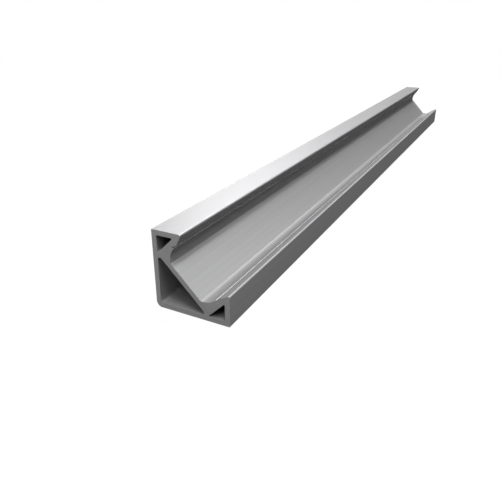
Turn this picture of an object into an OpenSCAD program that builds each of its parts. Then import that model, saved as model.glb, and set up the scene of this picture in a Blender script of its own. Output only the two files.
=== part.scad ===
// Corner profile for an LED strip: one bar of extruded aluminium. Its outside is a square with one
// rounded corner, which goes into the corner of a cabinet or a shelf. A channel at 45 degrees holds the
// strip on a flat floor, and a groove behind a thin flange on each side grips a snap-in cover. A large
// triangular hollow behind the floor and a small one in each leg save metal and take end cap pegs.
// Millimetres. The bar lies on one leg, along Y, with its origin at the bottom centre.

/* [Bar] */
// Length of the bar
bar_length = 250; // [50:10:3000]
// Width of each leg, from the outer corner to the leg's end
leg_width = 19; // [18:0.25:24]

/* [Walls] */
// Thickness of the two outer legs and of the leg ends
outer_wall = 1.2; // [0.8:0.05:1.6]
// Thickness of the slanted wall under the strip
floor_wall = 1.2; // [0.9:0.05:2]
// Thickness of the metal between the channel and a leg's hollow
side_wall = 1.73; // [1.5:0.01:2.6]
// Smallest thickness of the metal between the large hollow's tip and a leg's hollow
hollow_web = 1.2; // [0.6:0.1:2.4]

/* [Strip channel] */
// Distance from the outer corner to the strip floor, square to the floor
floor_height = 11.52; // [10.2:0.02:12.8]
// Width of the flat floor that the strip sticks to
seat_width = 10.3; // [9.9:0.1:12]
// Width between the walls above the floor
throat_width = 14; // [13:0.05:14.4]
// Radius of the curve from the floor up to each wall
trough_radius = 4.3; // [3.5:0.05:4.6]
// Width of the channel's mouth, between the edges of the lips
mouth_width = 16.1; // [15.5:0.05:17]

/* [Cover grooves] */
// Height of the flange's tip above the strip floor
flange_height = 3.78; // [3.64:0.02:4.2]
// Thickness of the flange at its tip
flange_tip = 0.08; // [0.06:0.01:0.2]
// Depth of the groove behind the flange
groove_depth = 0.62; // [0.4:0.02:1]
// Width of the groove
groove_width = 0.26; // [0.2:0.02:0.4]
// Lean of the groove away from the channel's middle, in degrees
groove_tilt = 22; // [12:1:28]
// Distance that the nib over the groove stands back from the wall
nib_setback = 0.12; // [0.05:0.01:0.25]

/* [Edges] */
// Radius of the outer corner between the legs
corner_radius = 1.4; // [0.3:0.05:3]
// Radius of the outer edge at each leg's end
edge_radius = 0.2; // [0.05:0.05:0.6]
// Radius of each lip's edge
lip_radius = 0.35; // [0.1:0.05:0.6]
// Radius of the nib's edge and of the groove's bottom
groove_radius = 0.09; // [0.02:0.01:0.1]
// Radius of the flange's tip on both sides
tip_radius = 0.035; // [0.01:0.005:0.035]
// Radius inside the large hollow's corners
hollow_radius = 0.6; // [0.1:0.05:1]
// Radius inside the small hollows' corners
leg_hollow_radius = 0.22; // [0.06:0.02:0.5]

/* [Hidden] */
$fn = 96;
// Directions across the channel, towards the lower leg, and out from the outer corner
ACROSS = [1, -1] / sqrt(2);
OUT = [1, 1] / sqrt(2);

// Places in the channel: the distance across from its middle, then the distance out from the outer corner
seat_edge = [seat_width / 2, floor_height];
wall_u = throat_width / 2;
trough_u = wall_u - trough_radius;
trough_centre = [trough_u, floor_height + sqrt(pow(trough_radius, 2) - pow(seat_edge[0] - trough_u, 2))];
groove_down = [sin(groove_tilt), -cos(groove_tilt)];
groove_across = [cos(groove_tilt), sin(groove_tilt)];
flange_front = [wall_u, floor_height + flange_height];
flange_back = flange_front + [flange_tip, 0];
groove_inner = flange_back + groove_depth * groove_down;
groove_outer = groove_inner + groove_width * groove_across;
nib = groove_outer - (groove_outer[0] - wall_u - nib_setback) / groove_down[0] * groove_down;
// Distance along a leg from the outer corner to the sharp tip of the large hollow
hollow_reach = (floor_height - floor_wall) * sqrt(2) - outer_wall;

// Turns a place in the channel into the section's own axes, which run along the two legs
function slanted(place) = place[0] * ACROSS + place[1] * OUT;
// A corner of an outline: its place and the radius that rounds it
function corner(place, radius = 0) = [place.x, place.y, radius];
function place(corner) = [corner.x, corner.y];
function swapped(corners) = [for (i = [len(corners) - 1:-1:0]) [corners[i].y, corners[i].x, corners[i].z]];
function unit(v) = v / norm(v);
function turn(a, b) = a.x * b.y - a.y * b.x;

// Directions from an outline's corner to the one before it and to the one after it
function back(corners, i) = unit(place(corners[(i + len(corners) - 1) % len(corners)]) - place(corners[i]));
function on(corners, i) = unit(place(corners[(i + 1) % len(corners)]) - place(corners[i]));
function half_angle(corners, i) = acos(back(corners, i) * on(corners, i)) / 2;

// Ends of the straight stretches of an outline, where the arcs that round its corners start and end
function straight_ends(corners) = [
    for (i = [0:len(corners) - 1])
        let (here = place(corners[i]), cut = corners[i].z / tan(half_angle(corners, i)))
        each cut > 0 ? [here + back(corners, i) * cut, here + on(corners, i) * cut] : [here]
];

// Circles that round the corners which stick out, for side 1, or those which go in, for side -1
module rounding(corners, side) {
    for (i = [0:len(corners) - 1]) {
        back = back(corners, i);
        on = on(corners, i);
        if (corners[i].z > 0 && side * turn(on, back) > 0)
            translate(place(corners[i]) + unit(back + on) * corners[i].z / sin(half_angle(corners, i)))
                circle(r = corners[i].z);
    }
}

// An outline whose corners are given anticlockwise, each rounded by its own radius
module rounded(corners) {
    difference() {
        union() {
            polygon(straight_ends(corners));
            rounding(corners, 1);
        }
        rounding(corners, -1);
    }
}

// The curve from the strip floor up to the channel's wall, on the lower leg's side
module trough() {
    intersection() {
        translate(slanted(trough_centre)) circle(r = trough_radius);
        polygon([
            slanted(seat_edge),
            slanted([wall_u + trough_radius, seat_edge[1]]),
            slanted([wall_u + trough_radius, trough_centre[1]]),
            slanted([seat_edge[0], trough_centre[1]])
        ]);
    }
}

module outside() {
    // From the lower leg's outer edge, round the lip, the nib, the groove and the flange, to the strip floor
    leg_side = [
        corner([leg_width, 0], edge_radius),
        corner([leg_width, leg_width - mouth_width / sqrt(2)], lip_radius),
        corner(slanted(nib), groove_radius),
        corner(slanted(groove_outer), groove_radius),
        corner(slanted(groove_inner), groove_radius),
        corner(slanted(flange_back), tip_radius),
        corner(slanted(flange_front), tip_radius),
        corner(slanted([wall_u, trough_centre[1]])),
        corner(slanted(seat_edge))
    ];
    difference() {
        rounded(concat([corner([0, 0], corner_radius)], leg_side, swapped(leg_side)));
        trough();
        mirror([1, -1]) trough();
    }
}

// The hollow between the two legs and the slanted wall
module corner_hollow() {
    rounded([
        corner([outer_wall, outer_wall], hollow_radius),
        corner([hollow_reach, outer_wall], hollow_radius),
        corner([outer_wall, hollow_reach], hollow_radius)
    ]);
}

// The hollow in the lower leg's end, clear of both the channel and the large hollow
module leg_hollow() {
    near = max(
        outer_wall + (wall_u + side_wall) * sqrt(2),
        hollow_reach + hollow_web - (hollow_radius + leg_hollow_radius) * sqrt(2)
    );
    far = leg_width - outer_wall;
    rounded([
        corner([near, outer_wall], leg_hollow_radius),
        corner([far, outer_wall], leg_hollow_radius),
        corner([far, outer_wall + far - near], leg_hollow_radius)
    ]);
}

module section() {
    difference() {
        outside();
        corner_hollow();
        leg_hollow();
        mirror([1, -1]) leg_hollow();
    }
}

module profile() {
    color("silver")
        rotate([90, 0, 0])
            linear_extrude(height = bar_length, center = true)
                translate([-leg_width / 2, 0])
                    section();
}

profile();
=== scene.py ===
import math

import bpy
from mathutils import Matrix, Vector


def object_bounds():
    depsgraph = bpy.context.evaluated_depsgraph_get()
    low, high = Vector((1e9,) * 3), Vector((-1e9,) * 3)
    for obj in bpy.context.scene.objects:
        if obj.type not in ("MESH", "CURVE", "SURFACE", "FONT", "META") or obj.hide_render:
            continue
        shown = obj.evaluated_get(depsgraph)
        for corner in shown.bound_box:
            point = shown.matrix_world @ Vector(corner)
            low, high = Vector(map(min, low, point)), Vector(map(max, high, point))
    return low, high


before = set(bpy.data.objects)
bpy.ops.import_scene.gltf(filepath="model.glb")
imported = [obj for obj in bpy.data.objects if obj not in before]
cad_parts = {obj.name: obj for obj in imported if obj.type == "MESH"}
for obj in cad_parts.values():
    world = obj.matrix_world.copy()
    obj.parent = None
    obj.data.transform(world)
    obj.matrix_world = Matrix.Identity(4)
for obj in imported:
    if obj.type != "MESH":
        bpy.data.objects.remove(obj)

bpy.context.view_layer.update()
cad_low, cad_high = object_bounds()

# The bar
# One length of aluminium, pressed hot through a die and anodised matt. The die leaves fine lines along
# it on every side, in the channel and in the hollows. A saw then cut it to length, and its teeth left
# shallow arcs across the bare metal of both ends.
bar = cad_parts["profile"]

METALLIC = 0.6
EDGE_SHEEN = (0.3, 0.3, 0.3, 1.0)
SKIN_SHEEN = 0.1


def add_node(tree, kind, inputs=None, **settings):
    """A node with its settings and its inputs. Each input is a value, or the socket that feeds it."""
    node = tree.nodes.new(kind)
    for name, value in settings.items():
        setattr(node, name, value)
    for name, value in (inputs or {}).items():
        if isinstance(value, bpy.types.NodeSocket):
            tree.links.new(value, node.inputs[name])
        else:
            node.inputs[name].default_value = value
    return node


def math_node(tree, operation, *values):
    return add_node(tree, "ShaderNodeMath", dict(enumerate(values)), operation=operation).outputs["Value"]


def vector_node(tree, operation, *vectors):
    return add_node(tree, "ShaderNodeVectorMath", dict(enumerate(vectors)), operation=operation)


def own_place(tree):
    """A point's place in the object's own coordinates."""
    return add_node(tree, "ShaderNodeTexCoord").outputs["Object"]


def sum_of_shares(tree, start, *shares):
    """A number, plus each socket times the share of it that counts."""
    total = start
    for socket, share in shares:
        total = math_node(tree, "MULTIPLY_ADD", socket, share, total)
    return total


def noise_marks(tree, place, detail, scale=1.0):
    """Noise from 0 to 1. At a scale of 1, one unit of the place is one mark."""
    return add_node(
        tree, "ShaderNodeTexNoise",
        {"Vector": place, "Scale": scale, "Detail": detail},
        noise_dimensions="3D",
    ).outputs["Fac"]


def centred(tree, noise):
    """Noise from 0 to 1, moved and stretched to run from -1 to 1."""
    return math_node(tree, "MULTIPLY", math_node(tree, "SUBTRACT", noise, 0.5), 2.0)


def number_group(name, inputs, output):
    """A new shader node group with number sockets, and the nodes that stand for its two sides."""
    group = bpy.data.node_groups.new(name, "ShaderNodeTree")
    for socket in inputs:
        group.interface.new_socket(socket, in_out="INPUT", socket_type="NodeSocketFloat")
    group.interface.new_socket(output, in_out="OUTPUT", socket_type="NodeSocketFloat")
    return group, group.nodes.new("NodeGroupInput"), group.nodes.new("NodeGroupOutput")


def die_line_group():
    """Lines that a die leaves along the bar, which runs along Y: a number that is 0 on average."""
    group, given, result = number_group("die_lines", ("Line Width", "Line Length", "Detail"), "Lines")
    width, length = given.outputs["Line Width"], given.outputs["Line Length"]
    line_size = add_node(group, "ShaderNodeCombineXYZ", {"X": width, "Y": length, "Z": width})
    place = vector_node(group, "DIVIDE", own_place(group), line_size.outputs["Vector"])
    marks = noise_marks(group, place.outputs["Vector"], given.outputs["Detail"])
    group.links.new(centred(group, marks), result.inputs["Lines"])
    return group


def grain_group():
    """The even matt grain that etching and anodising leave: a number that is 0 on average."""
    group, given, result = number_group("matt_grain", ("Grain Size",), "Grain")
    scale = math_node(group, "DIVIDE", 1.0, given.outputs["Grain Size"])
    marks = noise_marks(group, own_place(group), 2.0, scale)
    group.links.new(centred(group, marks), result.inputs["Grain"])
    return group


DIE_LINES = die_line_group()
MATT_GRAIN = grain_group()


def empty_material(name):
    """A material with no nodes yet, and its node tree."""
    material = bpy.data.materials.new(name)
    material.use_nodes = True
    material.node_tree.nodes.clear()
    return material, material.node_tree


def add_metal(tree, grey, shade, roughness, marks, depth):
    """Metal of a grey times its shade, with marks of a depth in its surface."""
    colour = add_node(tree, "ShaderNodeVectorMath", {0: grey, "Scale": shade}, operation="SCALE")
    relief = add_node(tree, "ShaderNodeBump", {"Distance": depth, "Height": marks})
    metal = add_node(tree, "ShaderNodeBsdfPrincipled", {
        "Base Color": colour.outputs["Vector"],
        "Metallic": METALLIC,
        "Roughness": roughness,
        "Specular IOR Level": SKIN_SHEEN,
        "Specular Tint": EDGE_SHEEN,
        "Normal": relief.outputs["Normal"],
    })
    add_node(tree, "ShaderNodeOutputMaterial", {"Surface": metal.outputs["BSDF"]})


def band(tree, value, middle, half_width, soft):
    """1 within half a width of the middle, and 0 beyond a soft edge."""
    from_middle = math_node(tree, "ABSOLUTE", math_node(tree, "SUBTRACT", value, middle))
    return add_node(tree, "ShaderNodeMapRange", {
        "Value": from_middle,
        "From Min": half_width,
        "From Max": half_width + soft,
        "To Min": 1.0,
        "To Max": 0.0,
    }).outputs["Result"]


# The anodised skin: broad and narrow die lines in its shade, the narrow ones in its gloss and relief
# too, and a fine grain over them.
drawn, drawn_tree = empty_material("drawn_aluminium")
broad_lines = add_node(
    drawn_tree, "ShaderNodeGroup",
    {"Line Width": 0.0016, "Line Length": 0.6, "Detail": 1.0},
    node_tree=DIE_LINES,
).outputs["Lines"]
narrow_lines = add_node(
    drawn_tree, "ShaderNodeGroup",
    {"Line Width": 0.00035, "Line Length": 0.18, "Detail": 3.0},
    node_tree=DIE_LINES,
).outputs["Lines"]
skin_grain = add_node(
    drawn_tree, "ShaderNodeGroup", {"Grain Size": 0.00006}, node_tree=MATT_GRAIN
).outputs["Grain"]

# A place in the bar's section: its distance from the outer corner out along the channel's middle, and
# its distance from that middle across to the lower leg.
OUTER_CORNER = (cad_low[0], 0.0, cad_low[2])
OUT = (math.sqrt(0.5), 0.0, math.sqrt(0.5))
ACROSS = (math.sqrt(0.5), 0.0, -math.sqrt(0.5))
from_corner = vector_node(drawn_tree, "SUBTRACT", own_place(drawn_tree), OUTER_CORNER).outputs["Vector"]
out = vector_node(drawn_tree, "DOT_PRODUCT", from_corner, OUT).outputs["Value"]
to_lower_leg = vector_node(drawn_tree, "DOT_PRODUCT", from_corner, ACROSS).outputs["Value"]

# A painted highlight: the tips of the thin flanges, and less so the nibs, are painted lighter all along
# the bar, where they catch the light.
TIP_HIGHLIGHT_ACROSS = 0.00708
TIP_HIGHLIGHT_HALF_WIDTH = 0.0001
TIP_HIGHLIGHT_SOFT = 0.0001
FLANGE_TIP_OUT = 0.01523
FLANGE_TIP_HALF_WIDTH = 0.00012
NIB_OUT = 0.0159
NIB_HALF_WIDTH = 0.00008
NIB_SHARE = 0.4
flange_tips = band(drawn_tree, out, FLANGE_TIP_OUT, FLANGE_TIP_HALF_WIDTH, TIP_HIGHLIGHT_SOFT)
nibs = band(drawn_tree, out, NIB_OUT, NIB_HALF_WIDTH, TIP_HIGHLIGHT_SOFT)
either_side = math_node(drawn_tree, "ABSOLUTE", to_lower_leg)
painted_tip_highlight = math_node(
    drawn_tree, "MULTIPLY",
    band(drawn_tree, either_side, TIP_HIGHLIGHT_ACROSS, TIP_HIGHLIGHT_HALF_WIDTH, TIP_HIGHLIGHT_SOFT),
    sum_of_shares(drawn_tree, flange_tips, (nibs, NIB_SHARE)),
)

# The edge of the lower lip, which handling has scuffed duller.
LIP_ACROSS = 0.00805
LIP_HALF_ACROSS = 0.0003
LIP_OUT = 0.01882
LIP_HALF_OUT = 0.0004
SCUFFED_SOFT = 0.0002
scuffed = math_node(
    drawn_tree, "MULTIPLY",
    band(drawn_tree, to_lower_leg, LIP_ACROSS, LIP_HALF_ACROSS, SCUFFED_SOFT),
    band(drawn_tree, out, LIP_OUT, LIP_HALF_OUT, SCUFFED_SOFT),
)

# The faces of the channel, which throw little light on each other: a bounced ray sees them darker.
CHANNEL_OUT = 0.0114
in_channel = math_node(drawn_tree, "GREATER_THAN", out, CHANNEL_OUT)
drawn_path = add_node(drawn_tree, "ShaderNodeLightPath").outputs
bounced = math_node(drawn_tree, "MAXIMUM", drawn_path["Is Diffuse Ray"], drawn_path["Is Glossy Ray"])
bounced_in_channel = math_node(drawn_tree, "MULTIPLY", bounced, in_channel)

DRAWN_GREY = (0.38, 0.38, 0.385)
BROAD_LINES_SHADE = 0.06
NARROW_LINES_SHADE = 0.09
SKIN_GRAIN_SHADE = 0.03
# How much lighter the painted highlight makes the colour of the flange tips and nibs.
TIP_HIGHLIGHT_LIGHTER = 1.7
BOUNCE_LOST = 0.4
DRAWN_ROUGHNESS = 0.45
NARROW_LINES_ROUGHER = 0.05
SCUFFED_ROUGHER = 0.2
DIE_LINE_DEPTH = 0.000004
drawn_shade = sum_of_shares(
    drawn_tree, 1.0,
    (broad_lines, BROAD_LINES_SHADE),
    (narrow_lines, NARROW_LINES_SHADE),
    (skin_grain, SKIN_GRAIN_SHADE),
    (painted_tip_highlight, TIP_HIGHLIGHT_LIGHTER),
    (bounced_in_channel, -BOUNCE_LOST),
)
drawn_roughness = sum_of_shares(
    drawn_tree, DRAWN_ROUGHNESS, (narrow_lines, NARROW_LINES_ROUGHER), (scuffed, SCUFFED_ROUGHER)
)
add_metal(drawn_tree, DRAWN_GREY, drawn_shade, drawn_roughness, narrow_lines, DIE_LINE_DEPTH)

# The bare sawn metal: arcs about the middle of a blade that came in from above one side. They differ
# from place to place across an end, and between the two ends, by so many changes a metre.
BLADE_MIDDLE = (0.085, 0.0, 0.125)
TOOTH_MARK = 0.00032
ARC_CHANGES_ACROSS = 60.0
ARC_CHANGES_ALONG = 40.0
sawn, sawn_tree = empty_material("sawn_aluminium")
sawn_place = own_place(sawn_tree)
across_end = vector_node(sawn_tree, "MULTIPLY", sawn_place, (1.0, 0.0, 1.0)).outputs["Vector"]
from_blade = vector_node(sawn_tree, "DISTANCE", across_end, BLADE_MIDDLE).outputs["Value"]
sawn_axes = add_node(sawn_tree, "ShaderNodeSeparateXYZ", {"Vector": sawn_place}).outputs
arc_place = add_node(sawn_tree, "ShaderNodeCombineXYZ", {
    "X": math_node(sawn_tree, "DIVIDE", from_blade, TOOTH_MARK),
    "Y": math_node(sawn_tree, "MULTIPLY", sawn_axes["X"], ARC_CHANGES_ACROSS),
    "Z": math_node(sawn_tree, "MULTIPLY", sawn_axes["Y"], ARC_CHANGES_ALONG),
}).outputs["Vector"]
arcs = noise_marks(sawn_tree, arc_place, 3.0)
sawn_grain = add_node(
    sawn_tree, "ShaderNodeGroup", {"Grain Size": 0.00012}, node_tree=MATT_GRAIN
).outputs["Grain"]

SAWN_GREY = (0.4, 0.4, 0.402)
ARCS_SHADE = 0.11
SAWN_GRAIN_SHADE = 0.05
SAWN_ROUGHNESS = 0.48
ARCS_ROUGHER = 0.08
ARC_DEPTH = 0.000006
centred_arcs = centred(sawn_tree, arcs)
sawn_shade = sum_of_shares(sawn_tree, 1.0, (centred_arcs, ARCS_SHADE), (sawn_grain, SAWN_GRAIN_SHADE))
sawn_roughness = sum_of_shares(sawn_tree, SAWN_ROUGHNESS, (centred_arcs, ARCS_ROUGHER))
add_metal(sawn_tree, SAWN_GREY, sawn_shade, sawn_roughness, arcs, ARC_DEPTH)

SKIN, SAWN_END = 0, 1
FACES_AN_END = 0.9
bar.data.materials.clear()
bar.data.materials.append(drawn)
bar.data.materials.append(sawn)
for face in bar.data.polygons:
    face.material_index = SAWN_END if abs(face.normal.y) > FACES_AN_END else SKIN

# The floor
# A plain pale sheet that the bar lies on. To the camera it is white, with the bar's faint soft shadow on
# it. The metal shows it much darker, as a sheet that the lamps hardly reach.
FLOOR_SIZE = 6.0
FLOOR_DROP = 0.00005
bpy.ops.mesh.primitive_plane_add(size=FLOOR_SIZE, location=(0.0, 0.0, -FLOOR_DROP))
floor = bpy.context.object
floor.name = "floor"

PALE_SHEET = 0.85
SHEET_IN_METAL = 0.14
WHITE_BY_BAR = 0.9
WHITE_FAR_OFF = 1.0
FADE_START = 0.15
FADE_END = 0.6
WHITE_TO_METAL = 0.08
floor_material, floor_tree = empty_material("pale_floor")
floor.data.materials.append(floor_material)
floor_path = add_node(floor_tree, "ShaderNodeLightPath").outputs
sheet_grey = math_node(
    floor_tree, "MULTIPLY_ADD",
    floor_path["Is Camera Ray"], PALE_SHEET - SHEET_IN_METAL, SHEET_IN_METAL,
)
floor_sheet = add_node(floor_tree, "ShaderNodeBsdfDiffuse", {"Color": sheet_grey})
floor_white = add_node(floor_tree, "ShaderNodeEmission")
floor_fade = add_node(floor_tree, "ShaderNodeMapRange", {
    "Value": vector_node(floor_tree, "LENGTH", own_place(floor_tree)).outputs["Value"],
    "From Min": FADE_START,
    "From Max": FADE_END,
    "To Min": WHITE_BY_BAR,
    "To Max": WHITE_FAR_OFF,
}).outputs["Result"]
white_share = math_node(
    floor_tree, "ADD",
    math_node(floor_tree, "MULTIPLY", floor_path["Is Camera Ray"], floor_fade),
    math_node(floor_tree, "MULTIPLY", floor_path["Is Glossy Ray"], WHITE_TO_METAL),
)
floor_mix = add_node(floor_tree, "ShaderNodeMixShader", {
    "Fac": white_share,
    1: floor_sheet.outputs["BSDF"],
    2: floor_white.outputs["Emission"],
})
add_node(floor_tree, "ShaderNodeOutputMaterial", {"Surface": floor_mix.outputs["Shader"]})

# The light
# Soft round lamps: a large one low at the front, one over the camera, a near one overhead, and four
# behind the bar that show in the metal. An even dim light from all round fills the rest, and the camera
# sees it as white.
WORLD_FILL = 0.05
scene = bpy.context.scene
scene.view_settings.view_transform = "Standard"
world = bpy.data.worlds.new("studio")
scene.world = world
world.use_nodes = True
world_tree = world.node_tree
world_light = world_tree.nodes["Background"]
world_light.inputs["Color"].default_value = (1.0, 1.0, 1.0, 1.0)
world_path = add_node(world_tree, "ShaderNodeLightPath").outputs
world_strength = math_node(
    world_tree, "MULTIPLY_ADD", world_path["Is Camera Ray"], 1.0 - WORLD_FILL, WORLD_FILL
)
world_tree.links.new(world_strength, world_light.inputs["Strength"])
LAMP_AIM = Vector((0.0, -0.05, 0.0))


def add_lamp(name, height, turn, distance, width, watts):
    """A lamp turned to the bar. Its turn starts straight behind the bar and goes towards +X."""
    lamp_data = bpy.data.lights.new(name, "AREA")
    lamp_data.shape = "DISK"
    lamp_data.size = width
    lamp_data.energy = watts
    lamp = bpy.data.objects.new(name, lamp_data)
    scene.collection.objects.link(lamp)
    lamp.visible_camera = False
    up = math.radians(height)
    round_bar = math.radians(turn)
    way = Vector((math.sin(round_bar) * math.cos(up), math.cos(round_bar) * math.cos(up), math.sin(up)))
    lamp.location = LAMP_AIM + way * distance
    lamp.rotation_euler = way.to_track_quat("Z", "Y").to_euler()


add_lamp("front_left", height=12, turn=215, distance=1.5, width=0.7, watts=3.0)
add_lamp("over_camera", height=45, turn=162, distance=1.5, width=0.4, watts=5.6)
add_lamp("overhead", height=67, turn=150, distance=0.65, width=0.3, watts=3.6)
add_lamp("above_left", height=50, turn=-12, distance=1.5, width=0.3, watts=7.2)
add_lamp("above_right", height=55, turn=23, distance=1.5, width=0.1, watts=6.8)
add_lamp("behind_left", height=30, turn=-30, distance=1.5, width=0.5, watts=6.7)
add_lamp("behind_right", height=31, turn=36, distance=1.5, width=0.5, watts=2.0)

# The camera
# It looks along the channel from above its near end. Its place, turns and lens are those at which the
# bar's straight edges lie on those of the photograph.
CAMERA_PLACE = (0.05530261, -0.20430881, 0.06122719)
CAMERA_TURN = math.radians(27.408719)
CAMERA_DROP = math.radians(25.174263)
CAMERA_ROLL = math.radians(0.254841)
camera_data = bpy.data.cameras.new("camera")
camera_data.sensor_width = 36.0
camera_data.lens = 36.941332
camera_data.clip_start = 0.005
camera_data.clip_end = 20.0
camera = bpy.data.objects.new("camera", camera_data)
scene.collection.objects.link(camera)
camera.matrix_world = (
    Matrix.Translation(CAMERA_PLACE)
    @ Matrix.Rotation(CAMERA_TURN, 4, "Z")
    @ Matrix.Rotation(math.radians(90.0) - CAMERA_DROP, 4, "X")
    @ Matrix.Rotation(CAMERA_ROLL, 4, "Z")
)
scene.camera = camera

bpy.context.view_layer.update()
